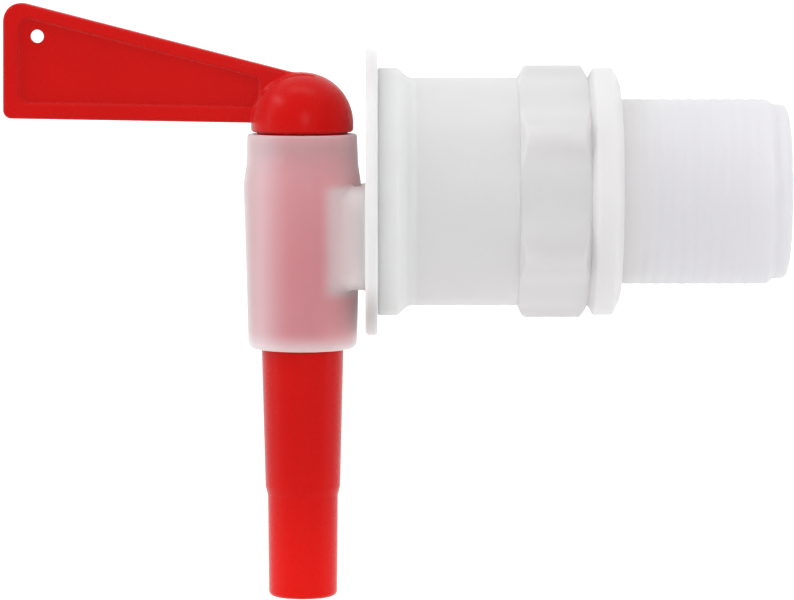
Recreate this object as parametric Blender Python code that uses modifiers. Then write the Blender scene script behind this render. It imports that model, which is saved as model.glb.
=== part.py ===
"""Barrel tap: a lever plug that turns in a moulded tap body, and the threaded adaptor that holds the body.

Sizes are in metres. The adaptor lies along X with its threaded nose towards +X, and Z is up. The
origin is on the adaptor's axis, on the collar's seat, which meets the drum.
"""

import math

import bmesh
import bpy
from mathutils import Matrix, Vector

MM = 0.001

# Fits and fineness of the facets
GAP = 0.3 * MM
TURNED_STEPS = 40
HALF_FACET = math.pi / TURNED_STEPS
HOLE_STEPS = 20
ARC_TOLERANCE = 0.03 * MM
MERGE = 0.01 * MM
OVERLAP = 1.0 * MM
EDGE = 0.4 * MM

# Threaded nose and collar of the adaptor
NOSE_LENGTH = 24.0 * MM
THREAD_DIAMETER = 26.44 * MM
PILOT_DIAMETER = 24.7 * MM
PILOT_LENGTH = 2.0 * MM
PILOT_SHOULDER = 0.9 * MM
NOSE_BORE = 20.6 * MM
COLLAR_DIAMETER = 35.4 * MM
COLLAR_LENGTH = 4.5 * MM
COLLAR_LEAN = 0.8 * MM
SEAT_DIAMETER = 31.2 * MM
WEB_LENGTH = 3.6 * MM

# Hexagon and V-groove of the adaptor
HEX_ACROSS_FLATS = 32.0 * MM
HEX_CORNER_RADIUS = 2.6 * MM
HEX_LENGTH = 10.1 * MM
HEX_CHAMFER = 1.1 * MM
GROOVE_DIAMETER = 32.4 * MM

# Chamber and hub ring of the adaptor
CHAMBER_DIAMETER = 32.6 * MM
CHAMBER_WALL = 1.9 * MM
CHAMBER_LENGTH = 15.5 * MM
HUB_DIAMETER = 35.4 * MM
HUB_LENGTH = 2.6 * MM
HUB_TAPER = 1.6 * MM

# Flange, spigot and neck of the tap body
FLANGE_DIAMETER = 41.2 * MM
FLANGE_THICKNESS = 1.5 * MM
FLANGE_DISH = 0.15 * MM
FLANGE_FLAT_DIAMETER = 29.0 * MM
SPIGOT_LENGTH = 4.7 * MM
SPIGOT_WALL = 1.6 * MM
SNAP_HEIGHT = 0.7 * MM
SNAP_LENGTH = 1.8 * MM
SNAP_SETBACK = 0.9 * MM
NECK_WIDTH = 14.7 * MM
NECK_HEIGHT = 15.1 * MM
NECK_CORNER = 2.2 * MM
NECK_DROP = 6.65 * MM
PASSAGE_WIDTH = 7.0 * MM
PASSAGE_HEIGHT = 8.6 * MM
PASSAGE_CORNER = 1.5 * MM

# Barrel of the tap body, upright, with its swell level with the adaptor's axis
BARREL_REACH = 9.15 * MM
BARREL_TOP_DIAMETER = 15.7 * MM
BARREL_SWELL_DIAMETER = 16.8 * MM
BARREL_FOOT_DIAMETER = 15.6 * MM
BARREL_SWELL_BLEND = 60.0 * MM
BARREL_ABOVE = 8.25 * MM
BARREL_BELOW = 22.5 * MM
BARREL_FOOT_ROUND = 1.1 * MM
BARREL_BORE = 13.5 * MM
LIP_HEIGHT = 1.8 * MM

# Lever plug: dome, core and nozzle
DOME_DIAMETER = 14.65 * MM
DOME_SKIRT = 0.85 * MM
BEAD_HEIGHT = 0.55 * MM
BEAD_LENGTH = 1.6 * MM
BEAD_BELOW_DOME = 2.2 * MM
NOZZLE_LENGTH = 35.8 * MM
NOZZLE_ROOT_DIAMETER = 11.6 * MM
NOZZLE_STEP_DIAMETER = 10.6 * MM
NOZZLE_TIP_DIAMETER = 9.95 * MM
NOZZLE_END_DIAMETER = 9.7 * MM
NOZZLE_TIP_LENGTH = 14.6 * MM
NOZZLE_STEP_LENGTH = 1.3 * MM
NOZZLE_BORE_END = 7.4 * MM
NOZZLE_BORE_TOP = 6.7 * MM
BORE_OVER_PASSAGE = 1.4 * MM

# Lever blade, drawn in the plane of the two axes
LEVER_THICKNESS = 3.6 * MM
LEVER_PANEL = 1.8 * MM
LEVER_REACH = 42.85 * MM
LEVER_TIP_TOP = 27.7 * MM
LEVER_TIP_BOTTOM = 10.5 * MM
LEVER_ROOT_RISE = 1.2 * MM
LEVER_RUN_IN = 1.8 * MM
LEVER_TOP_ROUND = 1.8 * MM
LEVER_BOTTOM_ROUND = 1.2 * MM
LEVER_RIM_TIP = 2.7 * MM
LEVER_RIM_TOP = 2.0 * MM
LEVER_RIM_BOTTOM = 2.4 * MM
LEVER_HOLE_DIAMETER = 1.9 * MM
LEVER_HOLE_FROM_TIP = 5.1 * MM
LEVER_HOLE_FROM_TOP = 4.25 * MM

# Places worked out from the sizes
SEAT_X = 0.0
GROOVE_X = SEAT_X - COLLAR_LENGTH
HEX_END_X = GROOVE_X - HEX_LENGTH
HUB_START_X = HEX_END_X - CHAMBER_LENGTH
HUB_END_X = HUB_START_X - HUB_TAPER - HUB_LENGTH
FLANGE_BACK_X = HUB_END_X - GAP
FLANGE_FRONT_X = FLANGE_BACK_X - FLANGE_THICKNESS
PLUG_X = FLANGE_FRONT_X - BARREL_REACH
SOCKET_RADIUS = CHAMBER_DIAMETER / 2 - CHAMBER_WALL
SPIGOT_RADIUS = SOCKET_RADIUS - GAP
BORE_RADIUS = BARREL_BORE / 2
CORE_RADIUS = BORE_RADIUS - GAP
BARREL_BASE_Z = -BARREL_BELOW
DOME_BASE_Z = BARREL_ABOVE + GAP
DOME_TOP_Z = DOME_BASE_Z + DOME_SKIRT + DOME_DIAMETER / 2
BEAD_Z = DOME_BASE_Z - BEAD_BELOW_DOME
NOZZLE_END_Z = BARREL_BASE_Z - NOZZLE_LENGTH
PASSAGE_Z = -NECK_DROP

RED = (0.60, 0.012, 0.006)
NATURAL = (0.80, 0.79, 0.80)

# Axes for outlines: the blade's plane, and sections across the neck
UPRIGHT = Matrix.Rotation(math.radians(90), 3, "X")
ACROSS = Matrix(((0, 0, 1), (1, 0, 0), (0, 1, 0)))


def clear_scene():
    for obj in list(bpy.data.objects):
        bpy.data.objects.remove(obj)


def new_collection(name):
    collection = bpy.data.collections.new(name)
    bpy.context.scene.collection.children.link(collection)
    return collection


def plastic(name, colour, roughness, transmission):
    material = bpy.data.materials.new(name)
    material.use_nodes = True
    shader = material.node_tree.nodes["Principled BSDF"]
    shader.inputs["Base Color"].default_value = (*colour, 1)
    shader.inputs["Roughness"].default_value = roughness
    shader.inputs["Metallic"].default_value = 0
    shader.inputs["Transmission Weight"].default_value = transmission
    return material


def place(mesh, name, collection, at=(0, 0, 0), turn=None):
    obj = bpy.data.objects.new(name, mesh)
    obj.location = at
    if turn:
        obj.rotation_euler = turn.to_euler()
    collection.objects.link(obj)
    if collection.name == "tools":
        obj.hide_render = True
        obj.display_type = "WIRE"
    return obj


def filleted(corners):
    """The outline through corners given as (u, v, fillet), each fillet an arc that fits its sides."""
    outline = []
    for i, (u, v, fillet) in enumerate(corners):
        corner = Vector((u, v))
        if not fillet:
            outline.append(corner)
            continue
        near, far = corners[i - 1], corners[(i + 1) % len(corners)]
        back, ahead = Vector(near[:2]) - corner, Vector(far[:2]) - corner
        half = back.angle(ahead) / 2
        room = min(back.length / (2 if near[2] else 1), ahead.length / (2 if far[2] else 1))
        reach = min(fillet / math.tan(half), room)
        radius = reach * math.tan(half)
        start = corner + back.normalized() * reach
        end = corner + ahead.normalized() * reach
        centre = corner + (back.normalized() + ahead.normalized()).normalized() * radius / math.sin(half)
        sweep = math.pi - 2 * half
        if back.cross(ahead) > 0:
            sweep = -sweep
        steps = max(2, math.ceil(abs(sweep) / (2 * math.acos(1 - min(ARC_TOLERANCE / radius, 0.2)))))
        for step in range(steps):
            outline.append(centre + Matrix.Rotation(sweep * step / steps, 2) @ (start - centre))
        outline.append(end)
    return [p for i, p in enumerate(outline) if i == 0 or (p - outline[i - 1]).length > MERGE]


def turned(name, corners, collection, at=(0, 0, 0), about_x=False, facets_from=0):
    """A body turned from corners of (radius, height, fillet), the outer side downwards.

    It turns about Z or, with its heights along +X, about X.
    """
    shape = bmesh.new()
    points = [shape.verts.new((radius, 0, height)) for radius, height in filleted(corners)]
    for a, b in zip(points, points[1:]):
        shape.edges.new((a, b))
    if corners[0][0] > 0:
        shape.edges.new((points[-1], points[0]))
    mesh = bpy.data.meshes.new(name)
    shape.to_mesh(mesh)
    shape.free()
    tipped = Matrix.Rotation(math.radians(90) if about_x else 0, 3, "Y")
    turn = tipped @ Matrix.Rotation(facets_from, 3, "Z")
    obj = place(mesh, name, collection, at, turn)
    screw = obj.modifiers.new("turned", "SCREW")
    screw.steps = screw.render_steps = TURNED_STEPS
    screw.use_merge_vertices = True
    screw.merge_threshold = MERGE
    return obj


def cut_out(name, corners, thickness, collection, at=(0, 0, 0), turn=UPRIGHT):
    """A flat outline from corners of (u, v, fillet), thickened by half each way."""
    curve = bpy.data.curves.new(name, "CURVE")
    curve.dimensions = "2D"
    curve.fill_mode = "BOTH"
    curve.extrude = thickness / 2
    outline = filleted(corners)
    spline = curve.splines.new("POLY")
    spline.points.add(len(outline) - 1)
    for point, (u, v) in zip(spline.points, outline):
        point.co = (u, v, 0, 1)
    spline.use_cyclic_u = True
    drawn = place(curve, name + "_outline", collection)
    mesh = bpy.data.meshes.new_from_object(drawn.evaluated_get(bpy.context.evaluated_depsgraph_get()))
    bpy.data.objects.remove(drawn)
    shape = bmesh.new()
    shape.from_mesh(mesh)
    bmesh.ops.remove_doubles(shape, verts=shape.verts, dist=MERGE)
    bmesh.ops.recalc_face_normals(shape, faces=shape.faces)
    shape.to_mesh(mesh)
    shape.free()
    return place(mesh, name, collection, at, turn)


def combine(obj, other, operation):
    boolean = obj.modifiers.new(other.name, "BOOLEAN")
    boolean.operation = operation
    boolean.object = other


def rectangle(width, height, corner, centre=(0, 0)):
    u, v = centre
    return [
        (u + across * width / 2, v + up * height / 2, corner)
        for across, up in ((-1, -1), (1, -1), (1, 1), (-1, 1))
    ]


def snap_ridge(radius, height, middle, length):
    """Corners of a ridge or groove of the given height on that radius, from its top end down."""
    return [
        (radius, middle + length / 2, 0),
        (radius + height, middle + length / 6, 0),
        (radius + height, middle - length / 6, 0),
        (radius, middle - length / 2, 0),
    ]


def adaptor(parts, tools):
    """Turned outside with the hexagon joined on, hollowed from both ends."""
    groove, core = GROOVE_DIAMETER / 2, HEX_ACROSS_FLATS / 2 - EDGE
    chamber, hub, collar = CHAMBER_DIAMETER / 2, HUB_DIAMETER / 2, COLLAR_DIAMETER / 2
    thread, pilot = THREAD_DIAMETER / 2, PILOT_DIAMETER / 2
    body = turned("threaded_adaptor", [
        (0, NOSE_LENGTH, 0),
        (pilot, NOSE_LENGTH, EDGE),
        (pilot, NOSE_LENGTH - PILOT_LENGTH, 0),
        (thread, NOSE_LENGTH - PILOT_LENGTH - PILOT_SHOULDER, EDGE),
        (thread, SEAT_X, 0),
        (SEAT_DIAMETER / 2, SEAT_X, 0),
        (collar, SEAT_X - COLLAR_LEAN, EDGE),
        (collar, GROOVE_X + COLLAR_LEAN, EDGE),
        (groove, GROOVE_X, 0),
        (core, GROOVE_X - EDGE, 0),
        (core, HEX_END_X + EDGE, 0),
        (chamber, HEX_END_X + EDGE, 0),
        (chamber, HUB_START_X, HUB_TAPER),
        (hub, HUB_START_X - HUB_TAPER, EDGE),
        (hub, HUB_END_X, 2 * EDGE),
        (0, HUB_END_X, 0),
    ], parts, about_x=True)

    middle = (GROOVE_X + HEX_END_X) / 2
    corner_reach = HEX_ACROSS_FLATS / math.sqrt(3)
    angles = [math.radians(60 * i) for i in range(6)]
    hexagon = cut_out("hexagon", [
        (corner_reach * math.sin(angle), corner_reach * math.cos(angle), HEX_CORNER_RADIUS)
        for angle in angles
    ], HEX_LENGTH, tools, at=(middle, 0, 0), turn=ACROSS)
    blank = turned("hexagon_blank", [
        (0, HEX_LENGTH / 2 + OVERLAP, 0),
        (groove - OVERLAP, HEX_LENGTH / 2 + OVERLAP, 0),
        (groove, HEX_LENGTH / 2, 0),
        (groove + 2 * HEX_CHAMFER, HEX_LENGTH / 2 - HEX_CHAMFER, 0),
        (groove + 2 * HEX_CHAMFER, HEX_CHAMFER - HEX_LENGTH / 2, 0),
        (groove, -HEX_LENGTH / 2, 0),
        (groove - OVERLAP, -HEX_LENGTH / 2 - OVERLAP, 0),
        (0, -HEX_LENGTH / 2 - OVERLAP, 0),
    ], tools, at=(middle, 0, 0), about_x=True)
    combine(hexagon, blank, "INTERSECT")
    combine(body, hexagon, "UNION")

    snap_x = FLANGE_BACK_X + SNAP_SETBACK + SNAP_LENGTH / 2
    bore = NOSE_BORE / 2
    hollow = turned("adaptor_hollow", [
        (0, NOSE_LENGTH + OVERLAP, 0),
        (bore + EDGE + OVERLAP, NOSE_LENGTH + OVERLAP, 0),
        (bore, NOSE_LENGTH - EDGE, 0),
        (bore, SEAT_X - WEB_LENGTH, EDGE),
        (SOCKET_RADIUS, SEAT_X - WEB_LENGTH, 2 * EDGE),
        *snap_ridge(SOCKET_RADIUS, SNAP_HEIGHT, snap_x, SNAP_LENGTH + 2 * GAP),
        (SOCKET_RADIUS, HUB_END_X - OVERLAP, 0),
        (0, HUB_END_X - OVERLAP, 0),
    ], tools, about_x=True)
    combine(body, hollow, "DIFFERENCE")
    return body


def tap_body(parts, tools):
    """Dished flange with its spigot behind, the neck and the barrel, then the bore and the passage."""
    flange, flat = FLANGE_DIAMETER / 2, FLANGE_FLAT_DIAMETER / 2
    spigot_end = FLANGE_BACK_X + SPIGOT_LENGTH
    snap_x = FLANGE_BACK_X + SNAP_SETBACK + SNAP_LENGTH / 2
    body = turned("tap_body", [
        (0, FLANGE_BACK_X, 0),
        (SPIGOT_RADIUS - SPIGOT_WALL, FLANGE_BACK_X, EDGE),
        (SPIGOT_RADIUS - SPIGOT_WALL, spigot_end, 0),
        (SPIGOT_RADIUS, spigot_end, EDGE),
        *snap_ridge(SPIGOT_RADIUS, SNAP_HEIGHT, snap_x, SNAP_LENGTH),
        (SPIGOT_RADIUS, FLANGE_BACK_X, 0),
        (flat, FLANGE_BACK_X, 0),
        (flange, FLANGE_BACK_X - FLANGE_DISH, FLANGE_THICKNESS / 2),
        (flange, FLANGE_FRONT_X - FLANGE_DISH, FLANGE_THICKNESS / 2),
        (flat, FLANGE_FRONT_X, 0),
        (0, FLANGE_FRONT_X, 0),
    ], parts, about_x=True)

    neck_start, neck_end = PLUG_X, FLANGE_FRONT_X + FLANGE_THICKNESS / 2
    neck = cut_out("neck", rectangle(NECK_WIDTH, NECK_HEIGHT, NECK_CORNER, (0, PASSAGE_Z)),
                   neck_end - neck_start, tools, at=((neck_start + neck_end) / 2, 0, 0), turn=ACROSS)
    barrel = turned("barrel", [
        (0, BARREL_ABOVE, 0),
        (BARREL_TOP_DIAMETER / 2, BARREL_ABOVE, EDGE),
        (BARREL_SWELL_DIAMETER / 2, 0, BARREL_SWELL_BLEND),
        (BARREL_FOOT_DIAMETER / 2, BARREL_BASE_Z, BARREL_FOOT_ROUND),
        (0, BARREL_BASE_Z, 0),
    ], tools, at=(PLUG_X, 0, 0))
    combine(body, neck, "UNION")
    combine(body, barrel, "UNION")

    bore = turned("barrel_bore", [
        (0, BARREL_ABOVE + OVERLAP, 0),
        (BORE_RADIUS, BARREL_ABOVE + OVERLAP, 0),
        *snap_ridge(BORE_RADIUS, BEAD_HEIGHT, BEAD_Z, BEAD_LENGTH + 2 * GAP),
        (BORE_RADIUS, BARREL_BASE_Z + LIP_HEIGHT, 0),
        (NOZZLE_ROOT_DIAMETER / 2 + GAP, BARREL_BASE_Z + LIP_HEIGHT, 0),
        (NOZZLE_ROOT_DIAMETER / 2 + GAP, BARREL_BASE_Z - OVERLAP, 0),
        (0, BARREL_BASE_Z - OVERLAP, 0),
    ], tools, at=(PLUG_X, 0, 0), facets_from=HALF_FACET)
    passage = cut_out("passage", rectangle(PASSAGE_WIDTH, PASSAGE_HEIGHT, PASSAGE_CORNER, (0, PASSAGE_Z)),
                      FLANGE_BACK_X + OVERLAP - PLUG_X, tools,
                      at=((FLANGE_BACK_X + OVERLAP + PLUG_X) / 2, 0, 0), turn=ACROSS)
    combine(body, bore, "DIFFERENCE")
    combine(body, passage, "DIFFERENCE")
    return body


def lever_top(u):
    """Height of the blade's upper edge, a straight run from the tip to the dome's crown."""
    return DOME_TOP_Z - (LEVER_TIP_TOP - DOME_TOP_Z) * u / LEVER_REACH


def lever_bottom(u):
    """Height of the blade's lower edge, from the tip to a little above the dome's base."""
    root = DOME_BASE_Z + LEVER_ROOT_RISE
    return root - (LEVER_TIP_BOTTOM - root) * u / LEVER_REACH


def lever_outline():
    """Corners of the blade, with its root inside the dome."""
    return [
        (-LEVER_REACH, LEVER_TIP_BOTTOM, LEVER_BOTTOM_ROUND),
        (LEVER_RUN_IN, DOME_BASE_Z + LEVER_ROOT_RISE, 0),
        (LEVER_RUN_IN, DOME_TOP_Z - LEVER_RUN_IN / 2, 0),
        (-LEVER_RUN_IN, lever_top(-LEVER_RUN_IN), DOME_DIAMETER / 2),
        (-LEVER_REACH, LEVER_TIP_TOP, LEVER_TOP_ROUND),
    ]


def panel_outline():
    """Corners of the recess: the blade less its rim, running on into the dome."""
    tip = -LEVER_REACH + LEVER_RIM_TIP
    root = -DOME_DIAMETER / 2 + OVERLAP
    return [
        (tip, lever_bottom(tip) + LEVER_RIM_BOTTOM, LEVER_BOTTOM_ROUND),
        (root, lever_bottom(root) + LEVER_RIM_BOTTOM, 0),
        (root, lever_top(root) - LEVER_RIM_TOP, 0),
        (tip, lever_top(tip) - LEVER_RIM_TOP, LEVER_TOP_ROUND),
    ]


def lever_blade(tools, axis):
    blade = cut_out("lever_blade", lever_outline(), LEVER_THICKNESS, tools)
    blade.parent = axis
    rounded = blade.modifiers.new("rounded_edges", "BEVEL")
    rounded.width = EDGE
    rounded.segments = 2
    rounded.limit_method = "ANGLE"
    rounded.angle_limit = math.radians(60)
    recess_depth = (LEVER_THICKNESS - LEVER_PANEL) / 2
    for side, name in ((-1, "front_panel"), (1, "back_panel")):
        middle = side * (LEVER_PANEL + recess_depth + OVERLAP) / 2
        panel = cut_out(name, panel_outline(), recess_depth + OVERLAP, tools, at=(0, middle, 0))
        panel.parent = axis
        combine(blade, panel, "DIFFERENCE")
    hole_u = LEVER_HOLE_FROM_TIP - LEVER_REACH
    bpy.ops.mesh.primitive_cylinder_add(
        vertices=HOLE_STEPS, radius=LEVER_HOLE_DIAMETER / 2, depth=LEVER_THICKNESS + 2 * OVERLAP)
    cylinder = bpy.context.object
    hole_at = (hole_u, 0, lever_top(hole_u) - LEVER_HOLE_FROM_TOP)
    hole = place(cylinder.data, "lever_hole", tools, hole_at, UPRIGHT)
    bpy.data.objects.remove(cylinder)
    hole.parent = axis
    combine(blade, hole, "DIFFERENCE")
    return blade


def lever_plug(parts, tools, axis):
    """Dome, core, snap bead and nozzle turned with the bore, the blade joined on, and the window cut."""
    nozzle_root = NOZZLE_ROOT_DIAMETER / 2
    shoulder = BARREL_BASE_Z + LIP_HEIGHT + GAP
    step_top = NOZZLE_END_Z + NOZZLE_TIP_LENGTH + NOZZLE_STEP_LENGTH
    bore_top = PASSAGE_Z + PASSAGE_HEIGHT / 2 + BORE_OVER_PASSAGE
    dome = DOME_DIAMETER / 2
    plug = turned("lever_plug", [
        (0, DOME_TOP_Z, 0),
        (dome, DOME_TOP_Z, dome),
        (dome, DOME_BASE_Z + DOME_SKIRT, 0),
        (dome, DOME_BASE_Z, EDGE),
        (CORE_RADIUS, DOME_BASE_Z, 0),
        *snap_ridge(CORE_RADIUS, BEAD_HEIGHT, BEAD_Z, BEAD_LENGTH),
        (CORE_RADIUS, shoulder, EDGE),
        (nozzle_root, shoulder, 0),
        (nozzle_root, BARREL_BASE_Z, 0),
        (NOZZLE_STEP_DIAMETER / 2, step_top, 0),
        (NOZZLE_TIP_DIAMETER / 2, NOZZLE_END_Z + NOZZLE_TIP_LENGTH, 0),
        (NOZZLE_END_DIAMETER / 2, NOZZLE_END_Z, EDGE),
        (NOZZLE_BORE_END / 2, NOZZLE_END_Z, 0),
        (NOZZLE_BORE_TOP / 2, bore_top, EDGE),
        (0, bore_top, 0),
    ], parts)
    plug.parent = axis
    combine(plug, lever_blade(tools, axis), "UNION")

    window = cut_out("window", rectangle(PASSAGE_WIDTH, PASSAGE_HEIGHT, PASSAGE_CORNER, (0, PASSAGE_Z)),
                     CORE_RADIUS + OVERLAP, tools, at=((CORE_RADIUS + OVERLAP) / 2, 0, 0), turn=ACROSS)
    window.parent = axis
    combine(plug, window, "DIFFERENCE")
    return plug


def main():
    clear_scene()
    parts, tools = new_collection("barrel_tap"), new_collection("tools")
    natural = plastic("natural_plastic", NATURAL, 0.35, 0.4)
    red = plastic("red_plastic", RED, 0.3, 0.0)
    lever_axis = bpy.data.objects.new("lever_axis", None)
    lever_axis.location = (PLUG_X, 0, 0)
    parts.objects.link(lever_axis)
    for obj, material in (
        (adaptor(parts, tools), natural),
        (tap_body(parts, tools), natural),
        (lever_plug(parts, tools, lever_axis), red),
    ):
        obj.data.materials.append(material)


main()
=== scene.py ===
"""Looks of a plastic barrel tap: a red lever plug that turns in a translucent tap body, and its adaptor.

Shapes are drawn in millimetres, in the same frame as the CAD, and made metres when a piece is finished.
The adaptor lies along X with its threaded nose towards +X. The barrel and the lever plug stand upright.
"""

import math

import bmesh
import bpy
from mathutils import Matrix, Vector


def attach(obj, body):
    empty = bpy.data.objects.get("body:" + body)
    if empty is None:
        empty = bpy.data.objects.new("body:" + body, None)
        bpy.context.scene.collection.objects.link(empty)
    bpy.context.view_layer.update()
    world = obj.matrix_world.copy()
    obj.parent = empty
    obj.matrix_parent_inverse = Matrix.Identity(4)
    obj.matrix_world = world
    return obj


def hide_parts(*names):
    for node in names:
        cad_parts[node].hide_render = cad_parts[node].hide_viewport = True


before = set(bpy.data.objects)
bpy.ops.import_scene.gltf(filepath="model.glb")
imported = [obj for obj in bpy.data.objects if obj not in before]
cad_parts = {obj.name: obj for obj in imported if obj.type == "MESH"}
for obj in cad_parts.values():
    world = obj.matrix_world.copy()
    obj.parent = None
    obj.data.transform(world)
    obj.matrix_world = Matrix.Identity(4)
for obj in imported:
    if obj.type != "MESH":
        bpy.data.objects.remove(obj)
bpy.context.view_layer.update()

METRES = 0.001
MERGE = 0.0005
CIRCLE = 2 * math.pi

# Fineness of the turned shapes, of their rounded corners and of the slices where a surface is bent
TURNED_STEPS = 128
ADAPTOR_STEPS = 180
HOLE_STEPS = 48
THREAD_RINGS_A_TURN = 8
CORNER_TOLERANCE = 0.006
RECESS_CORNER_STEPS = 6
BLADE_ROUND_STEPS = 5
SLICE = 0.2
SHARP_ANGLE = math.radians(38)

# How far a cutting shape reaches past what it cuts
BEYOND = 1

# Places along the adaptor, and the upright axis of the barrel
NOSE_END_X = 24.0
GROOVE_X = -4.5
HEX_END_X = -14.6
HUB_START_X = -30.1
HUB_END_X = -34.45
FLANGE_BACK_X = -34.48
FLANGE_FRONT_X = -36.1
PLUG_X = -45.25

# Adaptor
NOSE_RADIUS = 13.22
NOSE_BORE = 10.3
PILOT_RADIUS = 12.5
PILOT_LENGTH = 2.0
PILOT_STEP_LENGTH = 2.9
SEAT_RADIUS = 15.6
COLLAR_RADIUS = 17.7
COLLAR_FRONT = 0.9
COLLAR_BACK = 0.8
GROOVE_RADIUS = 16.2
CHAMBER_RADIUS = 16.3
CHAMBER_START = 0.15
SOCKET_RADIUS = 14.4
SOCKET_CHAMFER = 0.25
HUB_RADIUS = 17.7
HUB_SLOPE = 1.5
WEB_X = -3.6
HEX_FLAT = 16.0
HEX_CORNER = 2.6
CHAMFER_SLOPE = 2.0
CHAMFER_BLEND = 0.6
CHAMFER_RINGS = (0.15, 0.3, 0.45, 0.6, 0.75, 0.9, 1.05, 1.25, 1.6)
THREAD_PITCH = 1.814
THREAD_HEIGHT = 0.08
THREAD_CREST = 0.05
THREAD_START_X = 0.9
THREAD_END_X = 20.9

# Tap body
FLANGE_RADIUS = 20.6
FLANGE_FLAT_RADIUS = 14.5
FLANGE_DISH = 0.15
SPIGOT_RADIUS = 14.1
SPIGOT_WALL = 1.6
SPIGOT_END_X = -29.9
SNAP_HEIGHT = 0.7
SNAP_X = -32.8
SNAP_LENGTH = 1.8
GAP = 0.3
NECK_WIDTH = 13.4
NECK_HEIGHT = 14.7
NECK_Z = -6.45
NECK_CORNER = 2.2
NECK_FILLET = 0.5
NECK_BLEND = 0.8
NECK_SINK = 0.02
NECK_START_X = PLUG_X + 3.0
NECK_END_X = FLANGE_FRONT_X + 0.75
NECK_LAYER = 0.4
NECK_LAYERS_EACH_WAY = 13
PASSAGE_Z = -6.65
PASSAGE_WIDTH = 7.0
PASSAGE_HEIGHT = 8.6
PASSAGE_CORNER = 1.5
BARREL_TOP_Z = 8.25
BARREL_BASE_Z = -22.5
BARREL_TOP_RADIUS = 7.85
BARREL_SHOULDER_RADIUS = 8.0
BARREL_SHOULDER_Z = 3.9
BARREL_SWELL_RADIUS = 8.45
BARREL_SWELL_Z = 1.0
BARREL_WAIST_RADIUS = 8.2
BARREL_WAIST_Z = -6.0
BARREL_FOOT_RADIUS = 7.8
BARREL_FOOT_ROUND = 1.1
BORE_RADIUS = 6.75
BORE_CHAMFER = 0.3
LIP_HEIGHT = 1.8

# Lever plug
DOME_RADIUS = 7.325
DOME_BASE_Z = 8.55
DOME_SKIRT = 1.2
DOME_TOP_Z = DOME_BASE_Z + DOME_SKIRT + DOME_RADIUS
CORE_RADIUS = 6.45
BEAD_Z = 6.35
BEAD_HEIGHT = 0.55
BEAD_LENGTH = 1.6
NOZZLE_END_Z = -58.3
NOZZLE_ROOT_RADIUS = 5.88
NOZZLE_STEP_RADIUS = 5.38
NOZZLE_TIP_RADIUS = 5.05
NOZZLE_END_RADIUS = 4.91
NOZZLE_TIP_LENGTH = 14.6
NOZZLE_STEP_LENGTH = 1.3
NOZZLE_BORE_END = 3.7
NOZZLE_BORE_TOP = 3.35
NOZZLE_BORE_TOP_Z = -0.95
BLADE_HALF = 1.8
PANEL_HALF = 0.9
BLADE_REACH = 42.65
BLADE_TIP_TOP = 27.7
BLADE_TIP_BOTTOM = 10.5
BLADE_TIP_LEAN = 0.12
BLADE_TIP_TOP_CORNER = 2.7
BLADE_TIP_BOTTOM_CORNER = 1.2
BLADE_MEETS_DOME = 1.3
BLADE_BEND = 4
BLADE_BELOW_DOME = 0.02
BLADE_ROOT_Z = DOME_BASE_Z + 1.2
BLADE_RUN_IN = 1.8
BLADE_RUN_IN_DROP = 0.35
BLADE_RUN_IN_CORNER = 1.5
BLADE_FILLET = 0.6
BLADE_ROUND = 0.55
ROOT_SLICES_FROM = -9.3
ROOT_SLICES = 54
ROOT_LAYERS_FROM_Z = 8.7
ROOT_LAYER = 0.25
ROOT_LAYERS = 36
RECESS_ROOT = -6.0
RECESS_ROOT_CORNER = 1.1
RECESS_TIP_BOTTOM_CORNER = 1.3
RECESS_TIP_TOP_CORNER = 1.6
RECESS_MOUTH = 0.3
RECESS_MOUTH_START = 0.8
RECESS_MOUTH_DEGREES = (15, 35, 55, 75)
RECESS_DRAFT = 0.45
RECESS_FLOOR = 0.3
RECESS_FLOOR_DEGREES = (10, 30, 50, 70, 90)
RIM_TIP = 2.3
RIM_TOP = 1.9
RIM_BOTTOM = 2.2
HOLE_RADIUS = 0.95
HOLE_EDGE = 0.15
HOLE_EDGE_ROUND = 0.1
HOLE_PIN_HALF = 3
HOLE_FROM_TIP = 4.9
HOLE_FROM_TOP = 4.25


# Shapes


def corner_steps(fillet, sweep):
    """How many straight steps an arc needs to stay within the tolerance."""
    step = 2 * math.acos(1 - min(CORNER_TOLERANCE / fillet, 0.1))
    return max(2, math.ceil(sweep / step))


def drawn(shape, corners, closed, y=0, steps=None):
    """A wire in the XZ plane through corners of (across, up, fillet), each fillet a bevelled point of it."""
    points = [shape.verts.new((across, y, up)) for across, up, _ in corners]
    pairs = list(zip(points, points[1:]))
    if closed:
        pairs.append((points[-1], points[0]))
    for pair in pairs:
        shape.edges.new(pair)
    places = [point.co.copy() for point in points]
    for i, (_, _, fillet) in enumerate(corners):
        if not fillet:
            continue
        back = places[i - 1] - places[i]
        ahead = places[(i + 1) % len(places)] - places[i]
        half = back.angle(ahead) / 2
        reach = min(fillet / math.tan(half), 0.999 * min(back.length, ahead.length))
        bmesh.ops.bevel(
            shape, geom=[points[i]], affect="VERTICES", offset=reach, offset_type="OFFSET",
            segments=steps or corner_steps(fillet, math.pi - 2 * half), profile=0.5, material=-1,
        )


def tidied(shape):
    """Doubles merged, so that seams and poles are closed, and faces turned outwards."""
    bmesh.ops.remove_doubles(shape, verts=shape.verts[:], dist=MERGE)
    bmesh.ops.dissolve_degenerate(shape, dist=MERGE / 5, edges=shape.edges[:])
    bmesh.ops.recalc_face_normals(shape, faces=shape.faces[:])


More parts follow.
